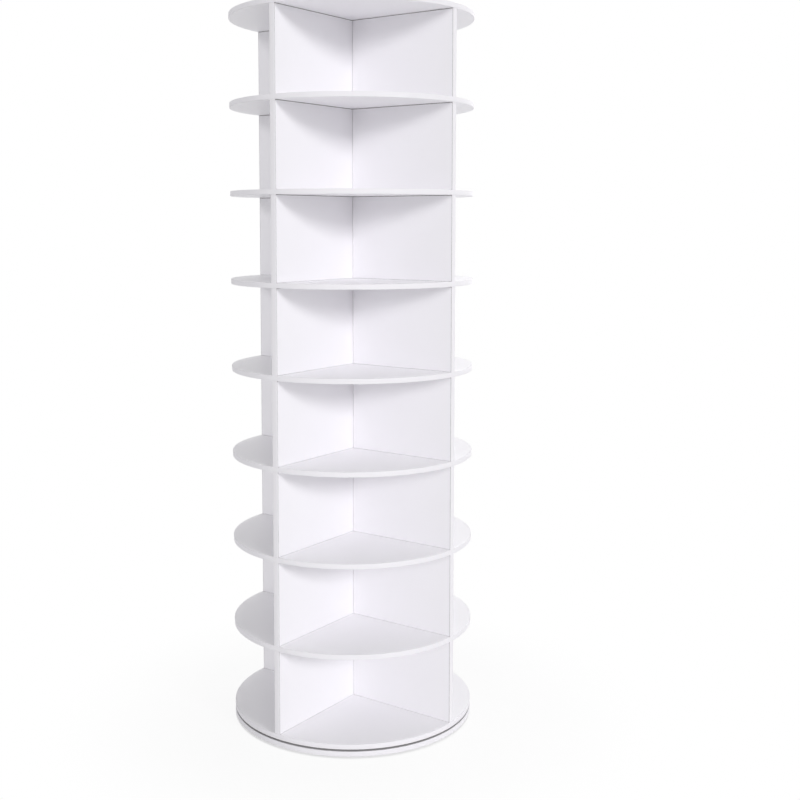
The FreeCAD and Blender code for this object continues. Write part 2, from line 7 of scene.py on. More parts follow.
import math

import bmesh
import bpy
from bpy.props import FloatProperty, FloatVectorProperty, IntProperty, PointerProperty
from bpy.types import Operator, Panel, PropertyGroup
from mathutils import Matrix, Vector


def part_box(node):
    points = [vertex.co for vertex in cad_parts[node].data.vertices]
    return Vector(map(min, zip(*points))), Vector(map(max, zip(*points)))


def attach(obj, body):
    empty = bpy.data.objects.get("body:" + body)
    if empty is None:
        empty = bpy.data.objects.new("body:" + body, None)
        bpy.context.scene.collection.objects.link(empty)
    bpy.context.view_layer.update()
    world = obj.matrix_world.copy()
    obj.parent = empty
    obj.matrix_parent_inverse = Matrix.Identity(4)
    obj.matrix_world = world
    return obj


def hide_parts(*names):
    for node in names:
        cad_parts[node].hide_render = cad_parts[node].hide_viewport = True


bl_info = {
    "name": "Rotating Shoe Tower",
    "version": (1, 0, 0),
    "blender": (4, 5, 0),
    "location": "View3D > Sidebar > Shoe Tower",
    "description": "Finishes for a rotating shoe tower, and a studio to show it in",
    "category": "Object",
}

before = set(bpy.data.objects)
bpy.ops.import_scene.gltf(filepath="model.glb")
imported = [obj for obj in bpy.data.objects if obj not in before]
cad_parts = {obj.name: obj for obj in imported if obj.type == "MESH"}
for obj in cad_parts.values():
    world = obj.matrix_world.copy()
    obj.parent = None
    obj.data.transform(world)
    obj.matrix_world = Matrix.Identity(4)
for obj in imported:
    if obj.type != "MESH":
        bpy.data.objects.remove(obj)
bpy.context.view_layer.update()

MM = 0.001
TIERS = sum(name.startswith("long_divider_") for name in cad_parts)
TIER_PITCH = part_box("shelf_1")[0].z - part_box("bottom_shelf")[0].z
ARMS = 4

# Corners nearer than this are one, and faces deeper in a board than this are cut ones.
SAME_PLACE = 0.001 * MM
FACE_DEPTH = 0.01 * MM

# How finely round shapes are meshed: round a whole turn, and round a small edge.
CAP_SEGMENTS = 24
FOOT_SEGMENTS = 48
SCREW_SEGMENTS = 32
BALL_SEGMENTS = 24
BALL_RINGS = 16
BAND_STEPS = 4
CAP_STEPS = 3
SOFT_STEPS = 4

# Faces that meet at less than this, in degrees, are shaded as one.
BAND_SMOOTH = 12
CAP_SMOOTH = 40
FOOT_SMOOTH = 35

# The sockets of a Mix node that mixes colours.
MIX_FIRST = 6
MIX_SECOND = 7
MIX_RESULT = 2

# The range in which nearly all of a noise lies.
NOISE_LOW = 0.3
NOISE_HIGH = 0.7

# How squarely a face has to look up or down to count as facing that way.
FACING = 0.5


def length(name, description, default):
    """A size in metres that a user can change."""
    return FloatProperty(name=name, description=description, default=default, min=0.0,
                         unit="LENGTH", precision=5)


def angle(name, description, degrees):
    """An angle that a user can change."""
    return FloatProperty(name=name, description=description, default=math.radians(degrees),
                         subtype="ANGLE")


def strength(name, default):
    """How bright a light makes a white surface that squarely faces it, 1 being white."""
    return FloatProperty(name=name, description="How bright it makes a white surface facing it",
                         default=default, min=0.0)


def colour(name, description, default):
    """A colour that a user can change, in linear light."""
    return FloatVectorProperty(name=name, description=description, default=default,
                               subtype="COLOR", size=3, min=0.0, max=1.0)


# ---- sizes and colours ------------------------------------------------------------------

class BoardSizes(PropertyGroup):
    """Sizes of the boards' edges."""
    rim_radius: length("Rim radius", "From the axis to the outside of a shelf's band",
                       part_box("shelf_edge_bands")[1].x)
    band_thickness: length("Band thickness", "Thickness of the edge bands",
                           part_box("shelf_edge_bands")[1].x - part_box("shelf_1")[1].x)
    band_round: length("Band rounding", "Radius of a band's outer edges", 0.6 * MM)
    rim_points: IntProperty(name="Rim points", description="Straight stretches round a rim",
                            default=300, min=48)
    lower_arris: length("Lower arris", "Bevel of a divider's lower edges", 0.5 * MM)
    upper_arris: length("Upper arris", "Bevel of a divider's upper edges", 1.4 * MM)
    end_arris: length("End arris", "Bevel of a divider's upright edges", 0.8 * MM)


class FittingSizes(PropertyGroup):
    """Sizes of the caps, feet, screws and balls."""
    cap_diameter: length("Cap diameter", "Across a cap over a cam lock", 17 * MM)
    cap_thickness: length("Cap thickness", "From the board's face to the cap's face", 0.8 * MM)
    plug_diameter: length("Plug diameter", "Across a cap's plug", 6 * MM)
    plug_depth: length("Plug depth", "How far a cap's plug reaches into the cam", 1.4 * MM)
    foot_top: length("Foot top", "Across a foot where it meets the base", 30 * MM)
    foot_bottom: length("Foot bottom", "Across a foot where it meets the floor", 26 * MM)
    head_diameter: length("Screw head", "Across a foot screw's pan head", 7.5 * MM)
    head_height: length("Head height", "Height of a foot screw's pan head", 2.2 * MM)
    head_room: length("Head room", "Clearance of a screw in its foot", 0.05 * MM)
    shank_diameter: length("Shank", "Across a foot screw's shank", 3.5 * MM)
    foot_count: IntProperty(name="Feet", description="Feet round the base", default=8, min=3)
    ball_count: IntProperty(name="Balls", description="Balls round the bearing", default=24, min=3)


class Finishes(PropertyGroup):
    """Colours of the materials."""
    # Painted light: the shelves' white is lighter than the dividers', though both are one white
    # melamine, so that the shelves' tops and undersides look brighter.
    shelf: colour("Shelves", "White melamine facing of the round boards", (0.968, 0.958, 0.985))
    divider: colour("Dividers", "White melamine facing of the upright boards",
                    (0.935, 0.922, 0.956))
    band: colour("Edge bands", "White plastic banding", (0.868, 0.853, 0.889))
    # Painted shade: a darker grey on the faces of the base and the bottom shelf that face each other,
    # standing for the shade in the gap between them.
    backing: colour("Backing", "Bare sides of the base and the bottom shelf, which face each other",
                    (0.62, 0.61, 0.62))
    # Partly real, partly painted shade: cut particle board on the dividers' eased edges, darkened so
    # that its thin lines stand for the shade where the dividers meet the shelves.
    core: colour("Cut edges", "Bare particle board at a divider's cut edges", (0.26, 0.25, 0.24))
    cap: colour("Caps", "White moulded plastic", (0.88, 0.875, 0.90))
    rubber: colour("Feet", "Rubber of the feet", (0.055, 0.055, 0.060))
    steel: colour("Plated steel", "Zinc-plated screws and bolts", (0.66, 0.67, 0.69))
    ball: colour("Balls", "Polished ball steel", (0.60, 0.60, 0.61))
    aluminium: colour("Rings", "Turned aluminium", (0.80, 0.81, 0.82))
    zinc: colour("Cams", "Die-cast zinc", (0.52, 0.53, 0.55))
    nylon: colour("Cage", "Natural nylon", (0.72, 0.70, 0.64))
    beech: colour("Dowels", "Beech", (0.62, 0.42, 0.25))
    floor: colour("Floor", "Studio floor", (0.93, 0.93, 0.93))


class Studio(PropertyGroup):
    """Camera and light."""
    camera_azimuth: angle("Camera azimuth", "Round the tower, from the front to the right", 37.07)
    camera_distance: length("Camera distance", "From the tower's axis, along the floor", 2.914)
    camera_height: length("Camera height", "Above the floor", 1.245)
    camera_tilt: angle("Camera tilt", "Downwards from the level", 5.03)
    camera_turn: angle("Camera turn", "To the right of the axis", 1.31)
    lens: FloatProperty(name="Lens", description="Focal length in millimetres", default=52.5)
    shift_right: FloatProperty(name="Shift right", description="Share of the frame's width",
                               default=0.0264)
    shift_up: FloatProperty(name="Shift up", description="Share of the frame's width",
                            default=-0.0951)
    key_azimuth: angle("Key azimuth", "Round the tower, from the front to the right", 75)
    key_elevation: angle("Key elevation", "Above the level", 18)
    key_spread: angle("Key spread", "How wide the light looks: wider is softer", 12)
    key_strength: strength("Key strength", 0.365)
    front_azimuth: angle("Front azimuth", "Round the tower, from the front to the right", 10)
    front_elevation: angle("Front elevation", "Above the level", 12)
    front_spread: angle("Front spread", "How wide the light looks: wider is softer", 12)
    front_strength: strength("Front strength", 0.175)
    back_azimuth: angle("Back azimuth", "Round the tower, from the front to the right", 180)
    back_elevation: angle("Back elevation", "Above the level", 20)
    back_spread: angle("Back spread", "How wide the light looks: wider is softer", 60)
    back_strength: strength("Back strength", 0.38)
    fill_strength: strength("Fill strength", 0.50)
    floor_side: length("Floor side", "Side of the square floor", 12.0)
    floor_white: FloatProperty(name="Floor white", description="How much of the floor near the "
                               "tower is plain white, the rest being its own shade", default=0.90,
                               min=0.0, max=1.0, subtype="FACTOR")
    under_white: FloatProperty(name="Under white", description="Share of the floor's "
                               "plain white that is kept under the base", default=0.60,
                               min=0.0, max=1.0, subtype="FACTOR")
    pool_radius: length("Pool radius", "How far from the axis the floor keeps its own shade", 0.34)
    fade_radius: length("Fade radius", "Where the floor has faded into the background", 0.8)


# ---- nodes ------------------------------------------------------------------------------

def put(tree, kind, inputs=None, output=0, **settings):
    """Add a node, give its inputs values or links, and return one of its outputs."""
    node = tree.nodes.new(kind)
    for name, setting in settings.items():
        setattr(node, name, setting)
    for key, source in (inputs or {}).items():
        if isinstance(source, bpy.types.NodeSocket):
            tree.links.new(source, node.inputs[key])
        else:
            node.inputs[key].default_value = source
    return node.outputs[output] if node.outputs else None


def sum_of(tree, first, second, operation="ADD"):
    """Two numbers combined by one operation."""
    return put(tree, "ShaderNodeMath", {0: first, 1: second}, operation=operation)


# ---- materials --------------------------------------------------------------------------

class Finish:
    """A node material under construction on one shader, patterned by Object coordinates."""

    def __init__(self, name, plain=None):
        self.material = bpy.data.materials.new(name)
        self.material.use_nodes = True
        self.tree = self.material.node_tree
        self.tree.nodes.clear()
        self.surface = put(self.tree, "ShaderNodeBsdfPrincipled", plain)
        self.shader = self.surface.node
        self.place = put(self.tree, "ShaderNodeTexCoord", output="Object")
        put(self.tree, "ShaderNodeOutputMaterial", {"Surface": self.surface})

    def stretched(self, scale):
        """The place with each axis scaled, so that a pattern can be drawn out along one."""
        return put(self.tree, "ShaderNodeMapping", {"Vector": self.place, "Scale": scale})

    def noise(self, scale, detail=2.0, place=None):
        """Smooth noise between 0 and 1; scale is blotches to the metre."""
        return put(self.tree, "ShaderNodeTexNoise",
                   {"Vector": place or self.place, "Scale": scale, "Detail": detail})

    def spread(self, source, low, high):
        """The middle of a noise spread over a range."""
        return put(self.tree, "ShaderNodeMapRange", {
            "Value": source, "From Min": NOISE_LOW, "From Max": NOISE_HIGH,
            "To Min": low, "To Max": high})

    def colour_by(self, source, low, high):
        """Base colour between two colours."""
        mixed = put(self.tree, "ShaderNodeMix", {
            "Factor": self.spread(source, 0.0, 1.0),
            MIX_FIRST: (*low, 1.0), MIX_SECOND: (*high, 1.0),
        }, output=MIX_RESULT, data_type="RGBA")
        self.tree.links.new(mixed, self.shader.inputs["Base Color"])

    def cover(self, share, base):
        """Lay another colour over the base colour, by a share from 0 to 1."""
        below = self.shader.inputs["Base Color"].links[0].from_socket
        mixed = put(self.tree, "ShaderNodeMix", {
            "Factor": share, MIX_FIRST: below, MIX_SECOND: (*base, 1.0),
        }, output=MIX_RESULT, data_type="RGBA")
        self.tree.links.new(mixed, self.shader.inputs["Base Color"])

    def roughness_by(self, source, low, high):
        """Roughness between two values."""
        self.tree.links.new(self.spread(source, low, high), self.shader.inputs["Roughness"])

    def bump_by(self, depth, *heights):
        """Relief from one or more patterns, each full height that deep."""
        height = heights[0]
        for other in heights[1:]:
            height = sum_of(self.tree, height, other)
        normal = put(self.tree, "ShaderNodeBump", {"Height": height, "Distance": depth})
        self.tree.links.new(normal, self.shader.inputs["Normal"])


def shade(base, factor):
    """A colour made darker or lighter by a factor."""
    return tuple(min(1.0, channel * factor) for channel in base)


def made_once(build):
    """Let a finish be built the first time it is asked for and found after that."""
    def find(*details):
        words = [detail for detail in details if isinstance(detail, str)]
        name = " ".join([build.__name__.replace("_", " "), *words])
        return bpy.data.materials.get(name) or build(name, *details)
    return find


@made_once
def melamine(name, boards, base, gap_side=None, backing=None):
    """Satin resin-faced board, a little cloudy and pearly; its side that faces the gap over the base
    is a painted shade, a darker grey.

    What boards it is for goes only into its name.
    """
    finish = Finish(name)
    finish.colour_by(finish.noise(3.0, 4.0), shade(base, 0.985), base)
    finish.roughness_by(finish.noise(45.0, 3.0), 0.38, 0.48)
    finish.bump_by(0.03 * MM, finish.noise(900.0))
    # Painted shade on the faces towards the gap between the base and the bottom shelf.
    if gap_side:
        normal = put(finish.tree, "ShaderNodeTexCoord", output="Normal")
        upward = put(finish.tree, "ShaderNodeSeparateXYZ", {0: normal}, output="Z")
        way = 1.0 if gap_side == "upper" else -1.0
        towards = sum_of(finish.tree, upward, way, "MULTIPLY")
        finish.cover(sum_of(finish.tree, towards, FACING, "GREATER_THAN"), backing)
    return finish.material


@made_once
def edge_banding(name, base, run):
    """Extruded plastic strip with faint lines along its run, which is round or up."""
    finish = Finish(name, {"Specular IOR Level": 0.15})
    lines = finish.stretched((6.0, 6.0, 2200.0) if run == "round" else (2200.0, 2200.0, 6.0))
    streaks = finish.noise(1.0, 2.0, lines)
    finish.colour_by(finish.noise(5.0, 3.0), shade(base, 0.985), base)
    finish.roughness_by(streaks, 0.50, 0.60)
    finish.bump_by(0.02 * MM, streaks)
    return finish.material


@made_once
def particle_board(name, base):
    """Sawn particle board: pale and dark chips, in a dark grey that also gives painted shade lines
    where the boards meet.
    """
    finish = Finish(name)
    chips = put(finish.tree, "ShaderNodeTexVoronoi", {"Vector": finish.place, "Scale": 700.0})
    finish.colour_by(chips, shade(base, 0.6), shade(base, 1.3))
    finish.roughness_by(chips, 0.8, 0.95)
    finish.bump_by(0.2 * MM, chips)
    return finish.material


@made_once
def moulded_cap(name, base):
    """Moulded plastic with a fine eroded grain."""
    finish = Finish(name)
    finish.colour_by(finish.noise(60.0, 3.0), shade(base, 0.98), base)
    finish.roughness_by(finish.noise(1500.0), 0.42, 0.52)
    finish.bump_by(0.02 * MM, finish.noise(2500.0))
    return finish.material


@made_once
def foot_rubber(name, base):
    """Dull rubber with dust in its grain."""
    finish = Finish(name)
    finish.colour_by(finish.noise(180.0, 5.0), base, shade(base, 1.7))
    finish.roughness_by(finish.noise(600.0), 0.7, 0.9)
    finish.bump_by(0.06 * MM, finish.noise(1800.0))
    return finish.material


@made_once
def plated_steel(name, base):
    """Zinc-plated steel, slightly mottled."""
    finish = Finish(name, {"Metallic": 1.0})
    finish.colour_by(finish.noise(350.0, 4.0), shade(base, 0.88), base)
    finish.roughness_by(finish.noise(500.0, 3.0), 0.24, 0.42)
    finish.bump_by(0.01 * MM, finish.noise(2500.0))
    return finish.material


@made_once
def ball_steel(name, base):
    """Polished steel with a film of grease."""
    finish = Finish(name, {"Metallic": 1.0})
    finish.colour_by(finish.noise(400.0), shade(base, 0.92), base)
    finish.roughness_by(finish.noise(300.0), 0.06, 0.14)
    return finish.material


@made_once
def turned_aluminium(name, base):
    """Aluminium with the fine circular lines of turning round the axis."""
    finish = Finish(name, {"Metallic": 1.0})
    level = put(finish.tree, "ShaderNodeMapping", {"Vector": finish.place, "Scale": (1, 1, 0)})
    radius = put(finish.tree, "ShaderNodeVectorMath", {0: level}, output="Value",
                 operation="LENGTH")
    rings = put(finish.tree, "ShaderNodeTexNoise", {"W": radius, "Scale": 4000.0},
                noise_dimensions="1D")
    finish.colour_by(rings, shade(base, 0.92), base)
    finish.roughness_by(rings, 0.28, 0.42)
    finish.bump_by(0.01 * MM, rings)
    return finish.material


@made_once
def die_cast_zinc(name, base):
    """Cast zinc with a dull, grainy skin."""
    finish = Finish(name, {"Metallic": 1.0})
    finish.colour_by(finish.noise(250.0, 4.0), shade(base, 0.85), base)
    finish.roughness_by(finish.noise(700.0, 3.0), 0.45, 0.62)
    finish.bump_by(0.03 * MM, finish.noise(1600.0))
    return finish.material


@made_once
def cage_nylon(name, base):
    """Natural nylon, waxy."""
    finish = Finish(name, {"Subsurface Weight": 0.1, "Subsurface Scale": 0.001})
    finish.colour_by(finish.noise(90.0, 3.0), shade(base, 0.95), base)
    finish.roughness_by(finish.noise(800.0), 0.40, 0.52)
    finish.bump_by(0.02 * MM, finish.noise(1500.0))
    return finish.material


@made_once
def beech(name, base, run):
    """Beech with its grain and flecks along the dowel's run, which is up or across."""
    finish = Finish(name)
    grain = finish.stretched((900.0, 900.0, 40.0) if run == "up" else (40.0, 900.0, 900.0))
    fibres = finish.noise(1.0, 4.0, grain)
    finish.colour_by(fibres, shade(base, 0.72), base)
    finish.roughness_by(fibres, 0.55, 0.7)
    finish.bump_by(0.05 * MM, fibres)
    return finish.material


# ---- meshes -----------------------------------------------------------------------------

def new_object(name, mesh):
    """Show a mesh as an object of the scene."""
    thing = bpy.data.objects.new(name, mesh)
    bpy.context.scene.collection.objects.link(thing)
    return thing


def as_mesh(shape, name, smooth_below=None):
    """A mesh from a bmesh, shaded smooth across edges flatter than the given angle."""
    mesh = bpy.data.meshes.new(name)
    shape.to_mesh(mesh)
    shape.free()
    if smooth_below:
        smooth(mesh, smooth_below)
    return mesh


def smooth(mesh, degrees):
    """Smooth shading with sharp edges kept where the faces turn by more than that."""
    mesh.shade_smooth()
    mesh.set_sharp_from_angle(angle=math.radians(degrees))


def arc(centre, radius, start, end, steps):
    """Points along an arc between two angles in degrees."""
    angles = [math.radians(start + (end - start) * step / steps) for step in range(steps + 1)]
    return [(centre[0] + radius * math.cos(a), centre[1] + radius * math.sin(a)) for a in angles]


def turned(shape, outline, segments, place=Matrix.Identity(4), closed=False):
    """Add a turned solid to a bmesh from its (radius, height) outline, at a place."""
    rings = []
    for radius, height in outline:
        count = segments if radius > 0 else 1
        ring = [shape.verts.new(place @ Vector((
            radius * math.cos(math.tau * i / count), radius * math.sin(math.tau * i / count), height,
        ))) for i in range(count)]
        rings.append(ring)
    pairs = list(zip(rings, rings[1:]))
    if closed:
        pairs.append((rings[-1], rings[0]))
    for below, above in pairs:
        for i in range(segments):
            corners = [below[i % len(below)], below[(i + 1) % len(below)],
                       above[(i + 1) % len(above)], above[i % len(above)]]
            shape.faces.new(list(dict.fromkeys(corners)))
    bmesh.ops.recalc_face_normals(shape, faces=shape.faces)


def dress(material, *nodes):
    """Give nodes of the frame their finish."""
    for node in nodes:
        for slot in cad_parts[node].material_slots:
            slot.material = material


def settle(piece, body, slot, *replaced):
    """Tie a finished piece to its body and hide the nodes that it stands for; its material slot is
    not used.
    """
    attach(piece, body)
    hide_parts(*replaced)


# ---- Geometry Nodes ---------------------------------------------------------------------

def new_tree(name, inputs):
    """A Geometry Nodes tree with named inputs, and its input sockets by name."""
    tree = bpy.data.node_groups.new(name, "GeometryNodeTree")
    tree.interface.new_socket("Geometry", in_out="INPUT", socket_type="NodeSocketGeometry")
    for label, kind in inputs:
        tree.interface.new_socket(label, in_out="INPUT", socket_type=f"NodeSocket{kind}")
    tree.interface.new_socket("Geometry", in_out="OUTPUT", socket_type="NodeSocketGeometry")
    return tree, tree.nodes.new("NodeGroupInput").outputs


def end_tree(tree, geometry):
    """Send the result to the tree's output."""
    put(tree, "NodeGroupOutput", {"Geometry": geometry})


REPEAT_INPUTS = (("Copies Round", "Int"), ("Rows", "Int"), ("Row Spacing", "Float"),
                 ("Material", "Material"))


def repeat_tree():
    """A tree that repeats what it is given evenly round the axis and up in rows."""
    name = "Repeat Round and Up"
    if name in bpy.data.node_groups:
        return bpy.data.node_groups[name]
    tree, given = new_tree(name, REPEAT_INPUTS)
    index = put(tree, "GeometryNodeInputIndex")
    whole = "FunctionNodeIntegerMath"
    count = put(tree, whole, {0: given["Copies Round"], 1: given["Rows"]}, operation="MULTIPLY")
    step = put(tree, whole, {0: index, 1: given["Copies Round"]}, operation="MODULO")
    row = put(tree, whole, {0: index, 1: given["Copies Round"]}, operation="DIVIDE_FLOOR")
    share = sum_of(tree, step, given["Copies Round"], "DIVIDE")
    heading = sum_of(tree, share, math.tau, "MULTIPLY")
    lift = sum_of(tree, row, given["Row Spacing"], "MULTIPLY")
    place = put(tree, "ShaderNodeCombineXYZ", {"Z": lift})
    turn = put(tree, "FunctionNodeAxisAngleToRotation", {"Axis": (0, 0, 1), "Angle": heading})
    points = put(tree, "GeometryNodePoints", {"Count": count, "Position": place})
    copies = put(tree, "GeometryNodeInstanceOnPoints",
                 {"Points": points, "Instance": given["Geometry"], "Rotation": turn})
    real = put(tree, "GeometryNodeRealizeInstances", {"Geometry": copies})
    end_tree(tree, put(tree, "GeometryNodeSetMaterial",
                       {"Geometry": real, "Material": given["Material"]}))
    return tree


def repeated(tree, given, geometry):
    """Pass a tree's geometry through the repeating tree, with the inputs of the same names."""
    group = tree.nodes.new("GeometryNodeGroup")
    group.node_tree = repeat_tree()
    tree.links.new(geometry, group.inputs["Geometry"])
    for label, _ in REPEAT_INPUTS:
        tree.links.new(given[label], group.inputs[label])
    return group.outputs["Geometry"]


def band_section(tree, given, length_name):
    """Outline of a band: a rectangle whose two outer corners are rounded."""
    outline = put(tree, "GeometryNodeCurvePrimitiveQuadrilateral",
                  {"Width": given["Thickness"], "Height": given[length_name]})
    place = put(tree, "GeometryNodeInputPosition")
    across = put(tree, "ShaderNodeSeparateXYZ", {0: place}, output="X")
    outer = sum_of(tree, across, 0.0, "GREATER_THAN")
    radius = sum_of(tree, outer, given["Rounding"], "MULTIPLY")
    return put(tree, "GeometryNodeFilletCurve",
               {"Curve": outline, "Radius": radius, "Count": BAND_STEPS}, mode="POLY")


def rim_band_tree():
    """A strip swept round the rim of a board, repeated up the tower."""
    tree, given = new_tree("Rim Bands", [
        ("Radius", "Float"), ("Thickness", "Float"), ("Height", "Float"),
        ("Rounding", "Float"), ("Points Round", "Int"), ("Level", "Float"),
        *REPEAT_INPUTS])
    half = sum_of(tree, given["Thickness"], 0.5, "MULTIPLY")
    radius = sum_of(tree, given["Radius"], half, "SUBTRACT")
    rim = put(tree, "GeometryNodeCurvePrimitiveCircle",
              {"Resolution": given["Points Round"], "Radius": radius})
    strip = put(tree, "GeometryNodeCurveToMesh",
                {"Curve": rim, "Profile Curve": band_section(tree, given, "Height")})
    middle = sum_of(tree, sum_of(tree, given["Height"], 0.5, "MULTIPLY"), given["Level"])
    lifted = put(tree, "GeometryNodeTransform",
                 {"Geometry": strip, "Translation": put(tree, "ShaderNodeCombineXYZ", {"Z": middle})})
    end_tree(tree, repeated(tree, given, lifted))
    return tree


def arm_band_tree():
    """An upright strip on the end of an arm, repeated round and up the tower."""
    tree, given = new_tree("Divider Bands", [
        ("Radius", "Float"), ("Thickness", "Float"), ("Width", "Float"),
        ("Rounding", "Float"), ("Bottom", "Float"), ("Top", "Float"),
        *REPEAT_INPUTS])
    line = put(tree, "GeometryNodeCurvePrimitiveLine", {
        "Start": put(tree, "ShaderNodeCombineXYZ", {"Z": given["Bottom"]}),
        "End": put(tree, "ShaderNodeCombineXYZ", {"Z": given["Top"]})})
    strip = put(tree, "GeometryNodeCurveToMesh", {
        "Curve": line, "Profile Curve": band_section(tree, given, "Width"), "Fill Caps": True})
    half = sum_of(tree, given["Thickness"], 0.5, "MULTIPLY")
    out = put(tree, "ShaderNodeCombineXYZ", {"X": sum_of(tree, given["Radius"], half, "SUBTRACT")})
    end_tree(tree, repeated(tree, given, put(tree, "GeometryNodeTransform",
                                             {"Geometry": strip, "Translation": out})))
    return tree


def ball_tree():
    """A row of balls round the bearing."""
    tree, given = new_tree("Bearing Balls", [
        ("Circle Radius", "Float"), ("Ball Radius", "Float"), ("Level", "Float"),
        *REPEAT_INPUTS])
    ball = put(tree, "GeometryNodeMeshUVSphere",
               {"Segments": BALL_SEGMENTS, "Rings": BALL_RINGS, "Radius": given["Ball Radius"]})
    place = put(tree, "ShaderNodeCombineXYZ", {"X": given["Circle Radius"], "Z": given["Level"]})
    moved = put(tree, "GeometryNodeTransform", {"Geometry": ball, "Translation": place})
    end_tree(tree, repeated(tree, given, moved))
    return tree


def grown(name, tree, values, start=None):
    """A plain mesh object that a tree makes from a starting mesh and its inputs' values."""
    piece = new_object(name, start or bpy.data.meshes.new(name))
    modifier = piece.modifiers.new("Nodes", "NODES")
    modifier.node_group = tree
    for socket in tree.interface.items_tree:
        if socket.in_out == "INPUT" and socket.name in values:
            modifier[socket.identifier] = values[socket.name]
    make_plain(piece, values["Material"])
    return piece


def make_plain(piece, *materials):
    """Turn what a piece's modifier makes into its plain mesh, with these materials."""
    graph = bpy.context.evaluated_depsgraph_get()
    mesh = bpy.data.meshes.new_from_object(piece.evaluated_get(graph))
    mesh.name = piece.name
    mesh.materials.clear()
    for material in materials:
        mesh.materials.append(material)
    piece.modifiers.clear()
    piece.data = mesh


# ---- pieces -----------------------------------------------------------------------------

class SHOE_OT_round_boards(Operator):
    """Face the base, the shelves and the top with melamine"""
    bl_idname = "shoe_tower.round_boards"
    bl_label = "Round Boards"

    def execute(self, context):
        finishes = context.scene.finishes
        shelves = [f"shelf_{number}" for number in range(1, TIERS)]
        dress(melamine("shelf", finishes.shelf), *shelves, "top_disc")
        # The faces of these two boards that look into the gap between them get the painted gap shade.
        dress(melamine("base", finishes.shelf, "upper", finishes.backing), "base_disc")
        dress(melamine("base", finishes.shelf, "lower", finishes.backing), "bottom_shelf")
        return {"FINISHED"}


class SHOE_OT_rim_bands(Operator):
    """Bend a strip of banding round every round board"""
    bl_idname = "shoe_tower.rim_bands"
    bl_label = "Rim Bands"

    def execute(self, context):
        sizes = context.scene.board_sizes
        tree = rim_band_tree()
        for name, body, node, board, rows in (
            ("base_rim_band", "base", "base_edge_band", "base_disc", 1),
            ("shelf_rim_bands", "tower", "shelf_edge_bands", "bottom_shelf", TIERS + 1),
        ):
            low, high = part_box(board)
            bands = grown(name, tree, {
                "Radius": sizes.rim_radius, "Thickness": sizes.band_thickness,
                "Height": high.z - low.z, "Level": low.z,
                "Rounding": sizes.band_round, "Points Round": sizes.rim_points,
                "Copies Round": 1, "Rows": rows, "Row Spacing": TIER_PITCH,
                "Material": edge_banding(context.scene.finishes.band, "round"),
            })
            smooth(bands.data, BAND_SMOOTH)
            settle(bands, body, "edge_band", node)
        return {"FINISHED"}


class SHOE_OT_dividers(Operator):
    """Cut and drill the upright boards, their edges eased where they meet the shelves"""
    bl_idname = "shoe_tower.dividers"
    bl_label = "Dividers"

    def execute(self, context):
        sizes = context.scene.board_sizes
        finishes = context.scene.finishes
        for node in [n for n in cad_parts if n[:-1].endswith("_divider_")]:
            run, across = (1, 0) if node.startswith("long") else (0, 1)
            low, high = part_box(node)
            board = new_object(node.replace("divider", "board"), self.drilled(node))
            eased = new_object("eased", self.eased(low, high, run, across, sizes))
            cut = board.modifiers.new("Ease", "BOOLEAN")
            cut.operation = "INTERSECT"
            cut.object = eased
            make_plain(board, melamine("divider", finishes.divider), particle_board(finishes.core))
            bpy.data.objects.remove(eased)
            # The faces inside the board's outline, its cut and eased edges, get the dark particle
            # board: real cut edges, and painted shade lines at the joints.
            for face in board.data.polygons:
                level = face.center[across]
                depth = min(level - low[across], high[across] - level)
                face.material_index = int(depth > FACE_DEPTH)
            settle(board, "tower", "divider_board", node)
        return {"FINISHED"}

    def drilled(self, node):
        """The node's own board, with its holes, as one closed mesh."""
        shape = bmesh.new()
        shape.from_mesh(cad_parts[node].data)
        bmesh.ops.remove_doubles(shape, verts=shape.verts, dist=SAME_PLACE)
        return as_mesh(shape, node)

    def eased(self, low, high, run, across, sizes):
        """A block that cuts bevels on a board's long and upright edges and clears the rest of it."""
        room = 0.1 * MM
        low = low - Vector((room, room, room))
        high = high + Vector((room, room, room))
        shape = bmesh.new()
        centre = Matrix.Translation((low + high) / 2)
        scale = Matrix.Diagonal((*(high - low), 1.0))
        bmesh.ops.create_cube(shape, size=1.0, matrix=centre @ scale)
        for axis, at, width in ((2, low.z, sizes.lower_arris), (2, high.z, sizes.upper_arris),
                                (run, low[run], sizes.end_arris), (run, high[run], sizes.end_arris)):
            edges = [edge for edge in shape.edges
                     if self.level(edge.verts, across, (low[across], high[across]))
                     and self.level(edge.verts, axis, (at,))]
            bmesh.ops.bevel(shape, geom=edges, offset=width + 2 * room, segments=1, affect="EDGES")
        return as_mesh(shape, "eased")

    @staticmethod
    def level(ends, axis, places):
        """Whether both ends of an edge lie at the same one of some places on an axis."""
        return any(all(abs(end.co[axis] - place) < SAME_PLACE for end in ends) for place in places)


class SHOE_OT_divider_bands(Operator):
    """Put a strip of banding on the outer end of every arm"""
    bl_idname = "shoe_tower.divider_bands"
    bl_label = "Divider Bands"

    def execute(self, context):
        sizes = context.scene.board_sizes
        low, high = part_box("long_divider_1")
        bands = grown("divider_end_bands", arm_band_tree(), {
            "Radius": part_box("divider_edge_bands")[1].x, "Thickness": sizes.band_thickness,
            "Width": high.x - low.x, "Rounding": sizes.band_round,
            "Bottom": low.z, "Top": high.z,
            "Copies Round": ARMS, "Rows": TIERS, "Row Spacing": TIER_PITCH,
            "Material": edge_banding(context.scene.finishes.band, "upright"),
        })
        settle(bands, "tower", "edge_band", "divider_edge_bands")
        return {"FINISHED"}


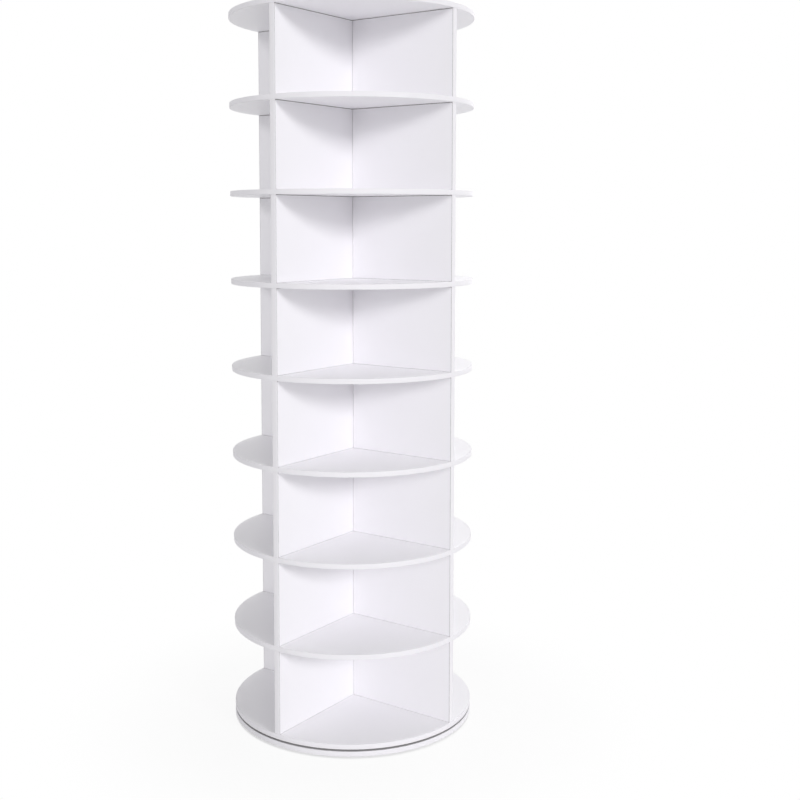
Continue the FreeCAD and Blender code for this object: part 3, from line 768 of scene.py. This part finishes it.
class SHOE_OT_cam_caps(Operator):
    """Snap a cap over every cam lock, on one face of each divider"""
    bl_idname = "shoe_tower.cam_caps"
    bl_label = "Cam Caps"

    def execute(self, context):
        sizes = context.scene.fitting_sizes
        radius = sizes.cap_diameter / 2
        low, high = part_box("cam_caps")
        board_low, board_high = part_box("long_divider_1")
        face = board_high.x
        across = high.x - radius
        lower = low.z + radius
        middle = (board_low.z + board_high.z) / 2
        setback = lower - board_low.z
        shape = bmesh.new()
        outline = self.outline(sizes)
        for level in (lower, board_high.z - setback):
            for side in (-across, across):
                turned(shape, outline, CAP_SEGMENTS, Matrix.Translation((-face, side, level))
                       @ Matrix.Rotation(math.radians(-90), 4, "Y"))
                turned(shape, outline, CAP_SEGMENTS, Matrix.Translation((side, face, level))
                       @ Matrix.Rotation(math.radians(-90), 4, "X"))
        for side in (-face - setback, face + setback):
            turned(shape, outline, CAP_SEGMENTS, Matrix.Translation((side, face, middle))
                   @ Matrix.Rotation(math.radians(-90), 4, "X"))
        caps = grown("cam_lock_caps", repeat_tree(), {
            "Copies Round": 1, "Rows": TIERS, "Row Spacing": TIER_PITCH,
            "Material": moulded_cap(context.scene.finishes.cap),
        }, as_mesh(shape, "tier_caps", CAP_SMOOTH))
        settle(caps, "tower", "cap_plastic", "cam_caps")
        return {"FINISHED"}

    @staticmethod
    def outline(sizes):
        """A thin dished disc with a rounded rim, and a plug behind it."""
        radius = sizes.cap_diameter / 2
        plug = sizes.plug_diameter / 2
        rim = 0.7 * sizes.cap_thickness
        lead = 0.4 * MM
        dish = 0.15 * MM
        dish_edge = 0.62 * radius
        dish_floor = 0.56 * radius
        return [
            (0, -sizes.plug_depth), (plug - lead, -sizes.plug_depth), (plug, lead - sizes.plug_depth),
            (plug, 0), (radius, 0),
            *arc((radius - rim, sizes.cap_thickness - rim), rim, 0, 90, CAP_STEPS),
            (dish_edge, sizes.cap_thickness), (dish_floor, sizes.cap_thickness - dish),
            (0, sizes.cap_thickness - dish),
        ]


class SHOE_OT_hidden_fittings(Operator):
    """Finish the cams, bolts and dowels inside the boards"""
    bl_idname = "shoe_tower.hidden_fittings"
    bl_label = "Hidden Fittings"

    def execute(self, context):
        finishes = context.scene.finishes
        dress(die_cast_zinc(finishes.zinc), "cam_locks")
        dress(plated_steel(finishes.steel), "through_bolts", "end_bolts", "centre_bolts")
        dress(beech(finishes.beech, "up"), "through_dowels", "end_dowels")
        dress(beech(finishes.beech, "across"), "centre_dowels")
        return {"FINISHED"}


class SHOE_OT_turntable(Operator):
    """Finish the bearing rings, their screws and the cage, and set the balls"""
    bl_idname = "shoe_tower.turntable"
    bl_label = "Turntable"

    def execute(self, context):
        finishes = context.scene.finishes
        dress(turned_aluminium(finishes.aluminium), "turntable_outer_ring", "turntable_inner_ring")
        dress(plated_steel(finishes.steel), "outer_ring_screws", "inner_ring_screws")
        dress(cage_nylon(finishes.nylon), "ball_cage")
        low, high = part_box("bearing_balls")
        radius = (high.z - low.z) / 2
        balls = grown("turntable_balls", ball_tree(), {
            "Circle Radius": high.x - radius, "Ball Radius": radius, "Level": low.z + radius,
            "Copies Round": context.scene.fitting_sizes.ball_count, "Rows": 1,
            "Material": ball_steel(finishes.ball),
        })
        balls.data.shade_smooth()
        settle(balls, "cage", "ball_steel", "bearing_balls")
        return {"FINISHED"}


class SHOE_OT_feet(Operator):
    """Stand the base on rubber feet and screw them on"""
    bl_idname = "shoe_tower.feet"
    bl_label = "Feet"

    def execute(self, context):
        sizes = context.scene.fitting_sizes
        finishes = context.scene.finishes
        low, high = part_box("base_feet")
        circle = Matrix.Translation((high.x - sizes.foot_top / 2, 0, 0))
        head_low, head_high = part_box("foot_screws")
        head_top = head_low.z + sizes.head_height
        foot = bmesh.new()
        turned(foot, self.foot_outline(sizes, high.z, head_top), FOOT_SEGMENTS, circle,
               closed=True)
        screw = bmesh.new()
        turned(screw, self.screw_outline(sizes, head_low.z, head_top, head_high.z),
               SCREW_SEGMENTS, circle)
        for name, shape, node, slot, material in (
            ("rubber_feet", foot, "base_feet", "foot_rubber", foot_rubber(finishes.rubber)),
            ("foot_fixings", screw, "foot_screws", "plated_steel", plated_steel(finishes.steel)),
        ):
            piece = grown(name, repeat_tree(), {
                "Copies Round": sizes.foot_count, "Rows": 1, "Material": material,
            }, as_mesh(shape, name, FOOT_SMOOTH))
            settle(piece, "base", slot, node)
        return {"FINISHED"}

    @staticmethod
    def foot_outline(sizes, top, head_top):
        """Section of a foot: tapered, with soft edges, a counterbore and a grip groove."""
        bore = sizes.head_diameter / 2 + sizes.head_room
        hole = sizes.shank_diameter / 2 + sizes.head_room
        bottom = sizes.foot_bottom / 2
        soft = 0.8 * MM
        groove = (bore + bottom) / 2
        half_groove = 0.9 * MM
        groove_depth = 0.7 * MM
        return [
            (hole, head_top), (bore, head_top), (bore, 0.0),
            (groove - half_groove, 0.0), (groove - half_groove / 2, groove_depth),
            (groove + half_groove / 2, groove_depth), (groove + half_groove, 0.0),
            *arc((bottom - soft, soft), soft, -90, 0, SOFT_STEPS),
            (sizes.foot_top / 2, top - soft / 2), (sizes.foot_top / 2 - soft / 2, top),
            (hole, top),
        ]

    @staticmethod
    def screw_outline(sizes, bottom, head_top, end):
        """Section of a pan-head screw, head down."""
        head = sizes.head_diameter / 2
        shank = sizes.shank_diameter / 2
        soft = 0.8 * MM
        point = 1.5 * MM
        return [
            (0, bottom), *arc((head - soft, bottom + soft), soft, -90, 0, SOFT_STEPS),
            (head, head_top), (shank, head_top), (shank, end - point), (0, end),
        ]


# ---- studio -----------------------------------------------------------------------------

def direction(azimuth, elevation):
    """Unit vector towards an azimuth, from the front to the right, and an elevation."""
    return Vector((math.sin(azimuth) * math.cos(elevation),
                   -math.cos(azimuth) * math.cos(elevation), math.sin(elevation)))


def seen_rays(tree):
    """One for rays that show the background itself, zero for rays that gather light."""
    path = put(tree, "ShaderNodeLightPath").node.outputs
    seen = sum_of(tree, path["Is Camera Ray"], path["Is Glossy Ray"], "MAXIMUM")
    return sum_of(tree, seen, path["Is Transmission Ray"], "MAXIMUM")


class SHOE_OT_studio(Operator):
    """Set the floor, the lights and the camera"""
    bl_idname = "shoe_tower.studio"
    bl_label = "Studio"

    def execute(self, context):
        studio = context.scene.studio
        self.floor(studio, context.scene.finishes.floor, context.scene.board_sizes.rim_radius)
        self.light(studio)
        self.surround(context.scene, studio)
        self.camera(context.scene, studio)
        context.scene.view_settings.view_transform = "Standard"
        return {"FINISHED"}

    def floor(self, studio, base, covered):
        """A pale floor, darker out to the covered radius, that fades into the background."""
        shape = bmesh.new()
        bmesh.ops.create_grid(shape, x_segments=1, y_segments=1, size=studio.floor_side / 2)
        floor = new_object("studio_floor", as_mesh(shape, "studio_floor"))
        finish = Finish("studio floor", {"Roughness": 0.8, "Specular IOR Level": 0.0})
        finish.colour_by(finish.noise(2.0, 4.0), shade(base, 0.99), base)
        tree = finish.tree
        distance = put(tree, "ShaderNodeVectorMath", {0: finish.place}, output="Value",
                       operation="LENGTH")
        faded = put(tree, "ShaderNodeMapRange", {
            "Value": distance, "From Min": studio.pool_radius, "From Max": studio.fade_radius,
            "To Min": studio.floor_white, "To Max": 1.0,
        }, interpolation_type="SMOOTHSTEP")
        beyond = sum_of(tree, distance, covered, "GREATER_THAN")
        kept = put(tree, "ShaderNodeMapRange", {"Value": beyond, "To Min": studio.under_white})
        shared = sum_of(tree, faded, kept, "MULTIPLY")
        white = put(tree, "ShaderNodeEmission")
        surface = put(tree, "ShaderNodeMixShader", {
            0: sum_of(tree, shared, seen_rays(tree), "MULTIPLY"), 1: finish.surface, 2: white})
        tree.links.new(surface, tree.nodes["Material Output"].inputs["Surface"])
        floor.data.materials.append(finish.material)

    def light(self, studio):
        """Distant lights from the right, from the front and, widest and softest, from behind."""
        for name in ("key", "front", "back"):
            lamp = bpy.data.lights.new(f"{name}_light", "SUN")
            lamp.energy = math.pi * getattr(studio, f"{name}_strength")
            lamp.angle = getattr(studio, f"{name}_spread")
            towards = direction(getattr(studio, f"{name}_azimuth"),
                                getattr(studio, f"{name}_elevation"))
            light = new_object(f"{name}_light", lamp)
            light.rotation_euler = towards.to_track_quat("Z", "Y").to_euler()

    def surround(self, scene, studio):
        """Even light from all round, with a white background."""
        scene.world = bpy.data.worlds.new("studio")
        scene.world.use_nodes = True
        tree = scene.world.node_tree
        tree.nodes.clear()
        brightness = put(tree, "ShaderNodeMapRange", {
            "Value": seen_rays(tree), "To Min": studio.fill_strength, "To Max": 1.0})
        light = put(tree, "ShaderNodeBackground", {"Color": (1, 1, 1, 1), "Strength": brightness})
        put(tree, "ShaderNodeOutputWorld", {"Surface": light})

    def camera(self, scene, studio):
        """A camera above the tower's middle, tilted a little down, with its frame shifted."""
        lens = bpy.data.cameras.new("camera")
        lens.lens = studio.lens
        lens.shift_x = studio.shift_right
        lens.shift_y = studio.shift_up
        camera = new_object("camera", lens)
        camera.location = studio.camera_distance * direction(studio.camera_azimuth, 0.0)
        camera.location.z = studio.camera_height
        camera.rotation_euler = (math.radians(90) - studio.camera_tilt, 0.0,
                                 studio.camera_azimuth - studio.camera_turn)
        scene.camera = camera


# ---- add-on -----------------------------------------------------------------------------

class SHOE_PT_pieces(Panel):
    """Lists the pieces of the tower"""
    bl_label = "Shoe Tower"
    bl_space_type = "VIEW_3D"
    bl_region_type = "UI"
    bl_category = "Shoe Tower"

    def draw(self, context):
        for operator in PIECES:
            self.layout.operator(operator.bl_idname)
        for group in SETTINGS:
            box = self.layout.box()
            for name in SETTINGS[group].__annotations__:
                box.prop(getattr(context.scene, group), name)


PIECES = (SHOE_OT_round_boards, SHOE_OT_rim_bands, SHOE_OT_dividers, SHOE_OT_divider_bands,
          SHOE_OT_cam_caps, SHOE_OT_hidden_fittings, SHOE_OT_turntable, SHOE_OT_feet,
          SHOE_OT_studio)
SETTINGS = {"board_sizes": BoardSizes, "fitting_sizes": FittingSizes, "finishes": Finishes,
            "studio": Studio}


def register():
    """Add the classes and the scene's settings."""
    for cls in (*SETTINGS.values(), *PIECES, SHOE_PT_pieces):
        bpy.utils.register_class(cls)
    for name, group in SETTINGS.items():
        setattr(bpy.types.Scene, name, PointerProperty(type=group))


def unregister():
    """Remove them again."""
    for name in SETTINGS:
        delattr(bpy.types.Scene, name)
    for cls in reversed((*SETTINGS.values(), *PIECES, SHOE_PT_pieces)):
        bpy.utils.unregister_class(cls)


def main():
    """Make every piece, then the studio."""
    register()
    bpy.ops.shoe_tower.round_boards()
    bpy.ops.shoe_tower.rim_bands()
    bpy.ops.shoe_tower.dividers()
    bpy.ops.shoe_tower.divider_bands()
    bpy.ops.shoe_tower.cam_caps()
    bpy.ops.shoe_tower.hidden_fittings()
    bpy.ops.shoe_tower.turntable()
    bpy.ops.shoe_tower.feet()
    bpy.ops.shoe_tower.studio()


if __name__ == "__main__":
    main()
